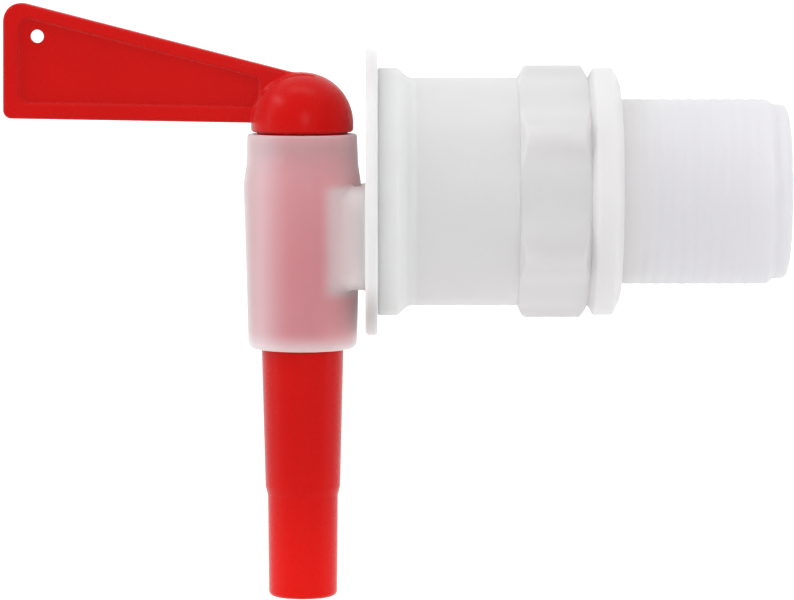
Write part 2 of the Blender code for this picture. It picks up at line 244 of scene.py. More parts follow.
def turned(corners, closed=False, steps=TURNED_STEPS, first_angle=0):
    """A shape turned about Z from corners of (radius, height, fillet)."""
    shape = bmesh.new()
    drawn(shape, corners, closed)
    bmesh.ops.spin(
        shape, geom=shape.verts[:] + shape.edges[:], cent=(0, 0, 0), axis=(0, 0, 1),
        angle=CIRCLE, steps=steps, use_merge=True, use_duplicate=False,
    )
    tidied(shape)
    if first_angle:
        bmesh.ops.rotate(shape, verts=shape.verts[:], cent=(0, 0, 0),
                         matrix=Matrix.Rotation(first_angle, 3, "Z"))
    return shape


def laid_along_x(shape):
    """A turned shape laid down, so that its heights run along +X."""
    bmesh.ops.rotate(shape, verts=shape.verts[:], cent=(0, 0, 0), matrix=Matrix.Rotation(math.pi / 2, 3, "Y"))
    return shape


def moved(shape, x=0, y=0, z=0):
    """The shape at a new place."""
    bmesh.ops.translate(shape, verts=shape.verts[:], vec=(x, y, z))
    return shape


def sliced(shape, places, axis, beyond=None):
    """Cuts all the faces, or those beyond a place along X, by planes across an axis."""
    normal = Vector([axis == name for name in "XYZ"])
    for place in places:
        faces = shape.faces[:]
        if beyond is not None:
            faces = [face for face in faces if all(vert.co.x > beyond for vert in face.verts)]
        edges = {edge for face in faces for edge in face.edges}
        verts = {vert for face in faces for vert in face.verts}
        bmesh.ops.bisect_plane(
            shape, geom=[*verts, *edges, *faces], dist=MERGE / 5, plane_co=normal * place, plane_no=normal)
    return shape


def plate(corners, half):
    """A flat plate of an XZ outline, half its thickness on each side of Y = 0."""
    shape = bmesh.new()
    drawn(shape, corners, True, y=-half)
    bmesh.ops.edgeloop_fill(shape, edges=shape.edges[:])
    grown = bmesh.ops.extrude_face_region(shape, geom=shape.faces[:], use_keep_orig=True)
    far_side = [item for item in grown["geom"] if isinstance(item, bmesh.types.BMVert)]
    bmesh.ops.translate(shape, verts=far_side, vec=(0, 2 * half, 0))
    bmesh.ops.recalc_face_normals(shape, faces=shape.faces[:])
    return shape


def bar(corners, start, end):
    """A bar along X from start to end with an outline of (y, z, fillet) corners."""
    shape = plate(corners, (end - start) / 2)
    lengthways = Matrix.Rotation(-math.pi / 2, 3, "Z")
    bmesh.ops.rotate(shape, verts=shape.verts[:], cent=(0, 0, 0), matrix=lengthways)
    return moved(shape, (start + end) / 2)


def lofted(outlines):
    """A closed shape through outlines of (y, corners), each with as many points as the next."""
    shape = bmesh.new()
    loops = []
    for y, corners in outlines:
        known = set(shape.edges)
        drawn(shape, corners, True, y=y, steps=RECESS_CORNER_STEPS)
        loops.append([edge for edge in shape.edges if edge not in known])
    for near, far in zip(loops, loops[1:]):
        bmesh.ops.bridge_loops(shape, edges=near + far)
    for end in (loops[0], loops[-1]):
        bmesh.ops.edgeloop_fill(shape, edges=end)
    bmesh.ops.recalc_face_normals(shape, faces=shape.faces[:])
    return shape


def rectangle(width, height, corner, middle=0):
    """Corners of an upright rectangle around a height."""
    return [
        (across * width / 2, middle + up * height / 2, corner)
        for across, up in ((-1, -1), (1, -1), (1, 1), (-1, 1))
    ]


def ridge(radius, height, middle, length):
    """Corners of a low ridge or groove on a surface of that radius, from its top end down."""
    return [
        (radius, middle + length / 2, 0.15),
        (radius + height, middle + length / 6, 0.25),
        (radius + height, middle - length / 6, 0.25),
        (radius, middle - length / 2, 0.15),
    ]


def as_object(name, shape):
    """An object of the scene made from a shape, which is used up."""
    mesh = bpy.data.meshes.new(name)
    shape.to_mesh(mesh)
    shape.free()
    obj = bpy.data.objects.new(name, mesh)
    bpy.context.scene.collection.objects.link(obj)
    return obj


def combined(obj, tool_shape, operation):
    """Joins an object with a tool shape, or cuts it by that shape, and keeps the result as its mesh."""
    tool = as_object("tool", tool_shape)
    step = obj.modifiers.new("combined", "BOOLEAN")
    step.operation = operation
    step.object = tool
    step.solver = "EXACT"
    graph = bpy.context.evaluated_depsgraph_get()
    result = bpy.data.meshes.new_from_object(obj.evaluated_get(graph))
    obj.modifiers.remove(step)
    old = obj.data
    obj.data = result
    bpy.data.meshes.remove(old)
    result.name = obj.name
    bpy.data.objects.remove(tool)


def finished(obj, body, node, material):
    """Merges a mesh, makes it metres, shades it smooth, and sets the piece on its body."""
    shape = bmesh.new()
    shape.from_mesh(obj.data)
    bmesh.ops.remove_doubles(shape, verts=shape.verts[:], dist=MERGE)
    bmesh.ops.scale(shape, verts=shape.verts[:], vec=(METRES, METRES, METRES))
    for face in shape.faces:
        face.smooth = True
    shape.to_mesh(obj.data)
    shape.free()
    obj.data.set_sharp_from_angle(angle=SHARP_ANGLE)
    shading = obj.modifiers.new("even_shading", "WEIGHTED_NORMAL")
    shading.keep_sharp = True
    obj.data.materials.clear()
    obj.data.materials.append(material)
    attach(obj, body)
    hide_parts(node)


# The adaptor: turned in one go, with its hexagon and thread drawn out of the turned surface


def hexagon_radius(angle):
    """Distance from the axis to the hexagon's side, its corners rounded."""
    off_flat = abs((angle % (CIRCLE / 6)) - CIRCLE / 12)
    last_flat = math.atan((HEX_FLAT - HEX_CORNER) * math.tan(CIRCLE / 12) / HEX_FLAT)
    if off_flat <= last_flat:
        return HEX_FLAT / math.cos(off_flat)
    off_corner = CIRCLE / 12 - off_flat
    centre = (HEX_FLAT - HEX_CORNER) / math.cos(CIRCLE / 12)
    return centre * math.cos(off_corner) + math.sqrt(HEX_CORNER**2 - (centre * math.sin(off_corner)) ** 2)


def smaller(a, b, blend):
    """The smaller of two sizes, blended where they are nearly the same."""
    mix = max(blend - abs(a - b), 0) / blend
    return min(a, b) - mix * mix * blend / 4


def larger(a, b, blend):
    """The larger of two sizes, blended where they are nearly the same."""
    return -smaller(-a, -b, blend)


def thread_height(along, angle):
    """A low, rounded right-hand thread that fades in and out."""
    fade = min((along - THREAD_START_X) / THREAD_PITCH, (THREAD_END_X - along) / THREAD_PITCH, 1)
    turn = CIRCLE * along / THREAD_PITCH + angle
    return max(fade, 0) * (THREAD_CREST + THREAD_HEIGHT * (math.cos(turn) - 1) / 2)


def adaptor_shape():
    """The adaptor from the nose's end round to the bore, closed."""
    thread_length = THREAD_END_X - THREAD_START_X
    thread_rings = round(thread_length / THREAD_PITCH * THREAD_RINGS_A_TURN)
    thread_step = thread_length / thread_rings
    hex_rings = [GROOVE_X - distance for distance in CHAMFER_RINGS]
    hex_rings.append((GROOVE_X + HEX_END_X) / 2)
    hex_rings += [HEX_END_X + distance for distance in reversed(CHAMFER_RINGS)]
    corners = [
        (NOSE_BORE, NOSE_END_X, 0.5),
        (PILOT_RADIUS, NOSE_END_X, 1.0),
        (PILOT_RADIUS, NOSE_END_X - PILOT_LENGTH, 0.25),
        (NOSE_RADIUS, NOSE_END_X - PILOT_STEP_LENGTH, 0.35),
        *[(NOSE_RADIUS, THREAD_END_X - thread_step * i, 0) for i in range(thread_rings + 1)],
        (NOSE_RADIUS, 0, 0.3),
        (SEAT_RADIUS, 0, 0.5),
        (COLLAR_RADIUS, -COLLAR_FRONT, 0.7),
        (COLLAR_RADIUS, GROOVE_X + COLLAR_BACK, 0.45),
        (GROOVE_RADIUS, GROOVE_X, 0),
        *[(GROOVE_RADIUS, x, 0) for x in hex_rings],
        (GROOVE_RADIUS, HEX_END_X, 0),
        (CHAMBER_RADIUS, HEX_END_X - CHAMBER_START, 0),
        (CHAMBER_RADIUS, HUB_START_X, 1.6),
        (HUB_RADIUS, HUB_START_X - HUB_SLOPE, 0.6),
        (HUB_RADIUS, HUB_END_X, 0.2),
        (SOCKET_RADIUS + SOCKET_CHAMFER, HUB_END_X, 0),
        (SOCKET_RADIUS, HUB_END_X + SOCKET_CHAMFER, 0),
        *ridge(SOCKET_RADIUS, SNAP_HEIGHT, SNAP_X, SNAP_LENGTH + 2 * GAP)[::-1],
        (SOCKET_RADIUS, WEB_X, 0.8),
        (NOSE_BORE, WEB_X, 0.6),
    ]
    shape = turned(corners, closed=True, steps=ADAPTOR_STEPS)
    for vert in shape.verts:
        radius = vert.co.xy.length
        along = vert.co.z
        angle = math.atan2(vert.co.y, vert.co.x)
        if HEX_END_X - 0.01 <= along <= GROOVE_X + 0.01 and radius > GROOVE_RADIUS - 0.5:
            chamfer = GROOVE_RADIUS + CHAMFER_SLOPE * min(GROOVE_X - along, along - HEX_END_X)
            vert.co.xy *= smaller(hexagon_radius(angle), chamfer, CHAMFER_BLEND) / radius
        elif THREAD_START_X < along < THREAD_END_X and radius > NOSE_RADIUS - 0.1:
            vert.co.xy *= (radius + thread_height(along, angle)) / radius
    return laid_along_x(shape)


# The tap body: flange and spigot, neck and barrel, then the bore and the passage


def barrel_corners():
    """The barrel: a straighter collar, a soft shoulder, the swell and a long taper to its foot."""
    return [
        (0, BARREL_TOP_Z, 0),
        (BARREL_TOP_RADIUS, BARREL_TOP_Z, 0.35),
        (BARREL_SHOULDER_RADIUS, BARREL_SHOULDER_Z, 8),
        (BARREL_SWELL_RADIUS, BARREL_SWELL_Z, 8),
        (BARREL_WAIST_RADIUS, BARREL_WAIST_Z, 80),
        (BARREL_FOOT_RADIUS, BARREL_BASE_Z, BARREL_FOOT_ROUND),
        (0, BARREL_BASE_Z, 0),
    ]


def barrel_radius(z):
    """The barrel's radius where the neck meets it, without its rounded edges."""
    if z > BARREL_WAIST_Z:
        share = (z - BARREL_WAIST_Z) / (BARREL_SWELL_Z - BARREL_WAIST_Z)
        return BARREL_WAIST_RADIUS + (BARREL_SWELL_RADIUS - BARREL_WAIST_RADIUS) * min(share, 1)
    share = (z - BARREL_WAIST_Z) / (BARREL_BASE_Z - BARREL_WAIST_Z)
    return BARREL_WAIST_RADIUS + (BARREL_FOOT_RADIUS - BARREL_WAIST_RADIUS) * share


def flare(distance, fillet):
    """How far a surface leans out at a distance from the one that it runs into."""
    if distance >= fillet:
        return 0
    room = fillet - max(distance, 0)
    return fillet - math.sqrt(fillet**2 - room**2)


def neck_shape():
    """The neck, drawn out where it runs into the barrel and the flange."""
    neck = bar(rectangle(NECK_WIDTH, NECK_HEIGHT, NECK_CORNER, NECK_Z), NECK_START_X, NECK_END_X)
    slices = round((NECK_END_X - NECK_START_X) / SLICE)
    sliced(neck, [NECK_START_X + SLICE * i for i in range(1, slices)], "X")
    layers = range(-NECK_LAYERS_EACH_WAY, NECK_LAYERS_EACH_WAY + 1)
    sliced(neck, [NECK_Z + NECK_LAYER * i for i in layers], "Z")
    half_width = NECK_WIDTH / 2 - NECK_CORNER
    half_height = NECK_HEIGHT / 2 - NECK_CORNER
    for vert in neck.verts:
        x, y, z = vert.co
        out = Vector((
            0,
            y - max(-half_width, min(half_width, y)),
            z - NECK_Z - max(-half_height, min(half_height, z - NECK_Z)),
        ))
        if not out.length:
            continue
        out.normalize()
        radius = barrel_radius(z)
        beside = math.hypot(x - PLUG_X, y) - radius
        barrel_side = math.sqrt(max(radius**2 - (x - PLUG_X) ** 2, 0))
        lean = (
            abs(out.z) * flare(beside, NECK_FILLET) + flare(FLANGE_FRONT_X - x, NECK_FILLET)
            + abs(out.y) ** 2 * (larger(abs(y), barrel_side, NECK_BLEND) - abs(y) - NECK_SINK)
        )
        vert.co += out * lean
    return neck


def tap_body_object():
    """The flange with its spigot, joined with the neck and the barrel, then bored out."""
    flange = turned([
        (0, FLANGE_BACK_X, 0),
        (SPIGOT_RADIUS - SPIGOT_WALL, FLANGE_BACK_X, 0.4),
        (SPIGOT_RADIUS - SPIGOT_WALL, SPIGOT_END_X, 0.3),
        (SPIGOT_RADIUS, SPIGOT_END_X, 0.4),
        *ridge(SPIGOT_RADIUS, SNAP_HEIGHT, SNAP_X, SNAP_LENGTH),
        (SPIGOT_RADIUS, FLANGE_BACK_X, 0),
        (FLANGE_RADIUS, FLANGE_BACK_X, 0.6),
        (FLANGE_RADIUS, FLANGE_FRONT_X - FLANGE_DISH, 0.7),
        (FLANGE_FLAT_RADIUS, FLANGE_FRONT_X, 0),
        (0, FLANGE_FRONT_X, 0),
    ])
    body = as_object("tap_body_moulding", laid_along_x(flange))
    combined(body, neck_shape(), "UNION")
    combined(body, moved(turned(barrel_corners()), PLUG_X), "UNION")
    bore = turned([
        (0, BARREL_TOP_Z + BEYOND, 0),
        (BORE_RADIUS + BORE_CHAMFER + BEYOND, BARREL_TOP_Z + BEYOND, 0),
        (BORE_RADIUS, BARREL_TOP_Z - BORE_CHAMFER, 0),
        *ridge(BORE_RADIUS, BEAD_HEIGHT, BEAD_Z, BEAD_LENGTH + 2 * GAP),
        (BORE_RADIUS, BARREL_BASE_Z + LIP_HEIGHT, 0.3),
        (NOZZLE_ROOT_RADIUS + GAP, BARREL_BASE_Z + LIP_HEIGHT, 0.2),
        (NOZZLE_ROOT_RADIUS + GAP, BARREL_BASE_Z - BEYOND, 0),
        (0, BARREL_BASE_Z - BEYOND, 0),
    ], first_angle=math.pi / TURNED_STEPS)
    combined(body, moved(bore, PLUG_X), "DIFFERENCE")
    passage = rectangle(PASSAGE_WIDTH, PASSAGE_HEIGHT, PASSAGE_CORNER, PASSAGE_Z)
    combined(body, bar(passage, PLUG_X, FLANGE_BACK_X + BEYOND), "DIFFERENCE")
    return body


# The lever plug: dome, core and nozzle turned in one with the bore, then the blade and the side window


def blade_top(u):
    """The blade's top edge, which meets the height of the dome's top a little before the dome's axis."""
    share = (-u - BLADE_MEETS_DOME) / (BLADE_REACH - BLADE_MEETS_DOME)
    return DOME_TOP_Z + (BLADE_TIP_TOP - DOME_TOP_Z) * share


def blade_bottom(u):
    """The blade's bottom edge, which slopes up a little from its tip to the dome."""
    return BLADE_ROOT_Z - (BLADE_TIP_BOTTOM - BLADE_ROOT_Z) * u / BLADE_REACH


def recess_outline(inset):
    """Corners of the recess, inset from its nominal edge."""
    tip = RIM_TIP - BLADE_REACH + inset
    root = RECESS_ROOT - inset
    bottom = RIM_BOTTOM + inset
    top = RIM_TOP + inset
    return [
        (tip, blade_bottom(tip) + bottom, RECESS_TIP_BOTTOM_CORNER - inset),
        (root, blade_bottom(root) + bottom, RECESS_ROOT_CORNER - inset),
        (root, blade_top(root) - top, RECESS_ROOT_CORNER - inset),
        (tip, blade_top(tip) - top, RECESS_TIP_TOP_CORNER - inset),
    ]


def recess_shape(side):
    """The hollow of one recess, with a rounded mouth, sloping walls and a filleted floor."""
    levels = [(-RECESS_MOUTH_START * RECESS_MOUTH, BLADE_HALF + BEYOND)]
    for degrees in RECESS_MOUTH_DEGREES:
        angle = math.radians(degrees)
        inset = RECESS_MOUTH * (math.sin(angle) - 1)
        levels.append((inset, BLADE_HALF - RECESS_MOUTH * (1 - math.cos(angle))))
    for degrees in RECESS_FLOOR_DEGREES:
        angle = math.radians(degrees)
        inset = RECESS_DRAFT - RECESS_FLOOR * math.cos(angle)
        levels.append((inset, PANEL_HALF + RECESS_FLOOR * (1 - math.sin(angle))))
    return lofted([(side * y, recess_outline(inset)) for inset, y in levels])


def hole_shape():
    """A pin for the lever's hole, wider at both faces of the panel."""
    wide = HOLE_RADIUS + HOLE_EDGE
    face = PANEL_HALF - 0.02
    inside = PANEL_HALF - HOLE_EDGE
    pin = turned([
        (0, HOLE_PIN_HALF, 0),
        (wide, HOLE_PIN_HALF, 0),
        (wide, face, HOLE_EDGE_ROUND),
        (HOLE_RADIUS, inside, HOLE_EDGE_ROUND),
        (HOLE_RADIUS, -inside, HOLE_EDGE_ROUND),
        (wide, -face, HOLE_EDGE_ROUND),
        (wide, -HOLE_PIN_HALF, 0),
        (0, -HOLE_PIN_HALF, 0),
    ], steps=HOLE_STEPS)
    bmesh.ops.rotate(pin, verts=pin.verts[:], cent=(0, 0, 0), matrix=Matrix.Rotation(math.pi / 2, 3, "X"))
    u = HOLE_FROM_TIP - BLADE_REACH
    return moved(pin, u, 0, blade_top(u) - HOLE_FROM_TOP)


def from_dome(place):
    """Distance from a place to the dome and its short skirt."""
    up = max(place.z - DOME_BASE_Z - DOME_SKIRT, 0)
    return math.hypot(place.x, place.y, up) - DOME_RADIUS


def blade_object():
    """The lever's blade with its recesses and hole, its root flared to run into the dome."""
    meeting_z = DOME_TOP_Z - BLADE_BELOW_DOME
    blade = plate([
        (-BLADE_REACH, BLADE_TIP_BOTTOM, BLADE_TIP_BOTTOM_CORNER),
        (BLADE_RUN_IN, blade_bottom(BLADE_RUN_IN), 0),
        (BLADE_RUN_IN, DOME_TOP_Z - BLADE_RUN_IN_DROP, 0),
        (0, meeting_z, BLADE_RUN_IN_CORNER),
        (-BLADE_MEETS_DOME, meeting_z, BLADE_BEND),
        (BLADE_TIP_LEAN - BLADE_REACH, BLADE_TIP_TOP, BLADE_TIP_TOP_CORNER),
    ], BLADE_HALF)
    rims = [edge for edge in blade.edges if abs(edge.verts[0].co.y - edge.verts[1].co.y) < MERGE]
    bmesh.ops.bevel(
        blade, geom=rims, affect="EDGES", offset=BLADE_ROUND, offset_type="OFFSET",
        segments=BLADE_ROUND_STEPS, profile=0.5, material=-1,
    )
    obj = as_object("lever_blade", blade)
    for side in (-1, 1):
        combined(obj, recess_shape(side), "DIFFERENCE")
    combined(obj, hole_shape(), "DIFFERENCE")

    root = bmesh.new()
    root.from_mesh(obj.data)
    sliced(root, [ROOT_SLICES_FROM + SLICE * i for i in range(ROOT_SLICES)], "X")
    layers = [ROOT_LAYERS_FROM_Z + ROOT_LAYER * i for i in range(ROOT_LAYERS)]
    sliced(root, layers, "Z", beyond=ROOT_SLICES_FROM - 0.01)
    for vert in root.verts:
        lean = flare(from_dome(vert.co), BLADE_FILLET)
        vert.co.y += math.copysign(lean * min(abs(vert.co.y) / PANEL_HALF, 1), vert.co.y)
    root.to_mesh(obj.data)
    root.free()
    return obj


def lever_plug_object():
    """Dome, core and nozzle in one turned shape, joined with the blade, with the window cut in its side."""
    step_top = NOZZLE_END_Z + NOZZLE_TIP_LENGTH + NOZZLE_STEP_LENGTH
    shoulder = BARREL_BASE_Z + LIP_HEIGHT + GAP
    plug = as_object("lever_plug_moulding", turned([
        (0, DOME_TOP_Z, 0),
        (DOME_RADIUS, DOME_TOP_Z, DOME_RADIUS),
        (DOME_RADIUS, DOME_BASE_Z + DOME_SKIRT, 0),
        (DOME_RADIUS, DOME_BASE_Z, 0.45),
        (CORE_RADIUS, DOME_BASE_Z, 0.2),
        *ridge(CORE_RADIUS, BEAD_HEIGHT, BEAD_Z, BEAD_LENGTH),
        (CORE_RADIUS, shoulder, 0.4),
        (NOZZLE_ROOT_RADIUS, shoulder, 0.2),
        (NOZZLE_ROOT_RADIUS, BARREL_BASE_Z, 0),
        (NOZZLE_STEP_RADIUS, step_top, 0.3),
        (NOZZLE_TIP_RADIUS, NOZZLE_END_Z + NOZZLE_TIP_LENGTH, 0.3),
        (NOZZLE_END_RADIUS, NOZZLE_END_Z, 0.7),
        (NOZZLE_BORE_END, NOZZLE_END_Z, 0.25),
        (NOZZLE_BORE_TOP, NOZZLE_BORE_TOP_Z, 0.5),
        (0, NOZZLE_BORE_TOP_Z, 0),
    ]))
    blade = blade_object()
    shape = bmesh.new()
    shape.from_mesh(blade.data)
    bpy.data.objects.remove(blade)
    combined(plug, shape, "UNION")
    window = rectangle(PASSAGE_WIDTH, PASSAGE_HEIGHT, PASSAGE_CORNER, PASSAGE_Z)
    combined(plug, bar(window, 0, CORE_RADIUS + BEYOND), "DIFFERENCE")
    plug.data.transform(Matrix.Translation((PLUG_X, 0, 0)))
    return plug


# Materials

CORE_SHOWING = (0.77, 0.31, 0.345)
# painted light: the barrel made lighter by the neck, where the flange shades it
CORE_SHOWING_PAINTED_LIGHT_BY_NECK = (1.0, 0.41, 0.44)
# painted highlight: a pale band down the barrel's left side
CORE_SHOWING_PAINTED_HIGHLIGHT = (0.84, 0.51, 0.55)
# painted shade: the barrel's outer side made darker
CORE_SHOWING_PAINTED_SHADE_OUTSIDE = (0.56, 0.29, 0.32)
FLANGE_MILK = (0.96, 0.95, 0.95)
# painted shade on the flange's lower and upper parts
FLANGE_PAINTED_SHADE = (0.48, 0.47, 0.46)
# whiter where the wall is thick, and lifted as painted light where the flange shades the hub
THICK_WALL_AND_PAINTED_LIGHT = (1.0, 1.0, 1.0)
# painted shade: darkens the hexagon's rounded corners against their bright edge
PAINTED_CORNER_SHADE = (0.74, 0.73, 0.73)
# a bluish tint on the nose, darkened as painted shade against its bright rims
NOSE_TINT_AND_PAINTED_SHADE = (0.80, 0.79, 0.825)
BODY_MILK = (1.0, 0.965, 0.965)
ADAPTOR_MILK = (0.845, 0.83, 0.83)
CLOUD_SHADE = 0.97
RED_DEEP = (0.49, 0.001, 0.0002)
RED_LIGHT = (0.55, 0.0016, 0.0004)
# painted light: the nozzle's thin end made lighter, as if lit through its wall
RED_NOZZLE_END_PAINTED_LIGHT = (0.68, 0.004, 0.0012)

# Spans in metres over which one colour runs into the next: from the barrel's axis towards the drum
BARREL_OUTER_SIDE = (-0.0082, -0.0054)
BARREL_PAINTED_HIGHLIGHT_SIDE = (-0.0066, -0.0014)
BARREL_NECK_SIDE = (0, 0.008)
NECK_ROOT = (0.0024, 0.0048)
NECK_LENGTH = (0.0045, 0.009)
FLANGE_FACE = (0.0085, 0.0089)

# upwards from the adaptor's axis
BARREL_LENGTH = (-0.012, 0.0085)
BARREL_FOOT = (-0.0225, -0.0195)
NECK_BOTTOM = (-0.0155, -0.0135)
NECK_TOP = (0.0002, 0.0018)
FLANGE_BOTTOM = (-0.0175, -0.0105)
FLANGE_TOP = (0.011, 0.018)
NOZZLE_LOWER_HALF = (-0.057, -0.036)

# along the adaptor, and out from its axis
HUB_INSIDE = (SPIGOT_END_X * METRES, (SPIGOT_END_X + 1.2) * METRES)
HEXAGON_BACK = (-0.0148, -0.0140)
HEXAGON_FRONT = (-0.0052, -0.0044)
COLLAR_GROOVE = (-0.0048, -0.0034)
COLLAR_SEAT = (0.0, 0.002)
NOSE_ROOT = (0, 0.01)
HEXAGON_CORNERS = (0.0163, 0.0175)

# Shares of a colour where its span ends
NECK_ROOT_FADE = 0.54
NECK_FADE = 0.3
BARREL_TOP_SHARE = 0.87
BARREL_FOOT_SHARE = 0.45
FLANGE_TOP_SHARE = 0.4
COLLAR_SHARE = 0.1
NOSE_ROOT_SHARE = 0.2


class Value:
    """A socket of a node, so that sums on it add their Math nodes."""

    def __init__(self, nodes, socket):
        self.nodes = nodes
        self.socket = socket

    def _math(self, operation, first, second):
        return self.nodes.node("ShaderNodeMath", {"operation": operation}, {0: first, 1: second})

    def __add__(self, other):
        return self._math("ADD", self, other)

    def __radd__(self, other):
        return self._math("ADD", other, self)

    def __sub__(self, other):
        return self._math("SUBTRACT", self, other)

    def __rsub__(self, other):
        return self._math("SUBTRACT", other, self)

    def __mul__(self, other):
        return self._math("MULTIPLY", self, other)

    def __rmul__(self, other):
        return self._math("MULTIPLY", other, self)


class Nodes:
    """The nodes of a material or of the world, with one method that makes any of them."""

    def __init__(self, owner):
        owner.use_nodes = True
        self.tree = owner.node_tree
        self.tree.nodes.clear()

    def node(self, kind, settings=None, inputs=None, output=0):
        """A node of a type, with its settings and then the values or links of its sockets."""
        node = self.tree.nodes.new(kind)
        for name, value in (settings or {}).items():
            setattr(node, name, value)
        for name, value in (inputs or {}).items():
            if isinstance(value, Value):
                self.tree.links.new(value.socket, node.inputs[name])
            else:
                node.inputs[name].default_value = value
        if not node.outputs:
            return None
        return Value(self, node.outputs[output])

    def mixed(self, factor, first, second):
        """Two colours mixed by a factor."""
        return self.node("ShaderNodeMix", {"data_type": "RGBA"}, {0: factor, 6: first, 7: second}, output=2)

    def noise(self, place, scale, detail=2.0, roughness=0.5):
        """Soft noise at a place."""
        return self.node("ShaderNodeTexNoise", None, {
            "Vector": place, "Scale": scale, "Detail": detail, "Roughness": roughness,
        })

    def ramped(self, value, span, start, end):
        """A value that goes smoothly from start to end as another one crosses a span."""
        low, high = span
        return self.node("ShaderNodeMapRange", {"interpolation_type": "SMOOTHSTEP"}, {
            "Value": value, "From Min": low, "From Max": high, "To Min": start, "To Max": end,
        })

    def part_of(self, place, axis):
        """The X, Y or Z of a place."""
        return self.node("ShaderNodeSeparateXYZ", None, {0: place}, output="XYZ".index(axis))

    def bumped(self, height, distance):
        """A normal that follows a height."""
        return self.node("ShaderNodeBump", None, {"Height": height, "Distance": distance})

    def seen(self, *kinds):
        """1 for rays of these kinds and 0 for the others."""
        path = self.tree.nodes.new("ShaderNodeLightPath")
        total = Value(self, path.outputs[kinds[0]])
        for kind in kinds[1:]:
            total = total + Value(self, path.outputs[kind])
        return total


def shade(red, green, blue):
    """An opaque colour."""
    return (red, green, blue, 1)


def red_plastic():
    """Red moulded plastic with a fine grain, a faint swirl of colour from its flow, and painted light on the
    nozzle's lighter end.
    """
    material = bpy.data.materials.new("red_plastic_moulded")
    nodes = Nodes(material)
    place = nodes.node("ShaderNodeTexCoord", output=3)
    swirl = nodes.noise(place, 90, 3.0, 0.55)
    # painted light on the nozzle's end
    painted_light_nozzle_end = nodes.ramped(nodes.part_of(place, "Z"), NOZZLE_LOWER_HALF, 1, 0)
    moulded = nodes.mixed(swirl, shade(*RED_DEEP), shade(*RED_LIGHT))
    grain = nodes.noise(place, 2600, 2.0, 0.6)
    handled = nodes.noise(place, 420, 4.0, 0.65)
    plastic = nodes.node("ShaderNodeBsdfPrincipled", None, {
        "Base Color": nodes.mixed(painted_light_nozzle_end, moulded, shade(*RED_NOZZLE_END_PAINTED_LIGHT)),
        "Roughness": 0.22 + handled * 0.1,
        "Normal": nodes.bumped(grain * 0.6 + handled * 0.4, 0.00001),
        "IOR": 1.5,
        "Specular IOR Level": 0.09,
        "Sheen Weight": 0.13,
        "Sheen Roughness": 0.45,
    })
    nodes.node("ShaderNodeOutputMaterial", None, {"Surface": plastic})
    return material


def from_axis(nodes, place):
    """Distance from the adaptor's axis."""
    across = nodes.node("ShaderNodeVectorMath", {"operation": "MULTIPLY"}, {0: place, 1: (0, 1, 1)})
    return nodes.node("ShaderNodeVectorMath", {"operation": "LENGTH"}, {0: across}, output=1)


def core_tint(nodes, place):
    """How much of the red core's colour shows: full on the barrel, fading at its ends and along the neck."""
    along = nodes.part_of(place, "X") - PLUG_X * METRES
    height = nodes.part_of(place, "Z")
    barrel = nodes.ramped(along, FLANGE_FACE, 1, 0)
    neck = nodes.ramped(height, NECK_BOTTOM, 0, 1) * nodes.ramped(height, NECK_TOP, 1, 0)
    root_fade = nodes.ramped(along, NECK_ROOT, 0, NECK_ROOT_FADE)
    fade = nodes.ramped(along, NECK_LENGTH, 0, NECK_FADE)
    above = nodes.ramped(height, BARREL_LENGTH, 1, BARREL_TOP_SHARE)
    below = nodes.ramped(height, BARREL_FOOT, BARREL_FOOT_SHARE, 1)
    return barrel * (1 - neck * (root_fade + fade)) * above * below


def barrel_colour(nodes, place, milk):
    """The milky plastic with the red core showing through the barrel, painted lighter by the neck, with a
    painted highlight and painted shade on its outer side, and painted shade greying the flange towards its
    rim.
    """
    along = nodes.part_of(place, "X") - PLUG_X * METRES
    core_with_painted_light = shade(*CORE_SHOWING)
    # painted light and shade round the barrel: lighter by the neck, a painted highlight, and painted shade on
    # the outer side
    for side, start, end, colour in (
        (BARREL_NECK_SIDE, 0, 1, CORE_SHOWING_PAINTED_LIGHT_BY_NECK),
        (BARREL_PAINTED_HIGHLIGHT_SIDE, 1, 0, CORE_SHOWING_PAINTED_HIGHLIGHT),
        (BARREL_OUTER_SIDE, 1, 0, CORE_SHOWING_PAINTED_SHADE_OUTSIDE),
    ):
        core_with_painted_light = nodes.mixed(nodes.ramped(along, side, start, end), core_with_painted_light, shade(*colour))
    height = nodes.part_of(place, "Z")
    # painted shade: the flange turns grey towards its bottom and, less, towards its top
    shaded_below = nodes.ramped(height, FLANGE_BOTTOM, 1, 0)
    shaded_above = nodes.ramped(height, FLANGE_TOP, 0, FLANGE_TOP_SHARE)
    flange = nodes.mixed(shaded_below + shaded_above, shade(*FLANGE_MILK), shade(*FLANGE_PAINTED_SHADE))
    moulding = nodes.mixed(nodes.ramped(along, FLANGE_FACE, 0, 1), milk, flange)
    return nodes.mixed(core_tint(nodes, place), moulding, core_with_painted_light)


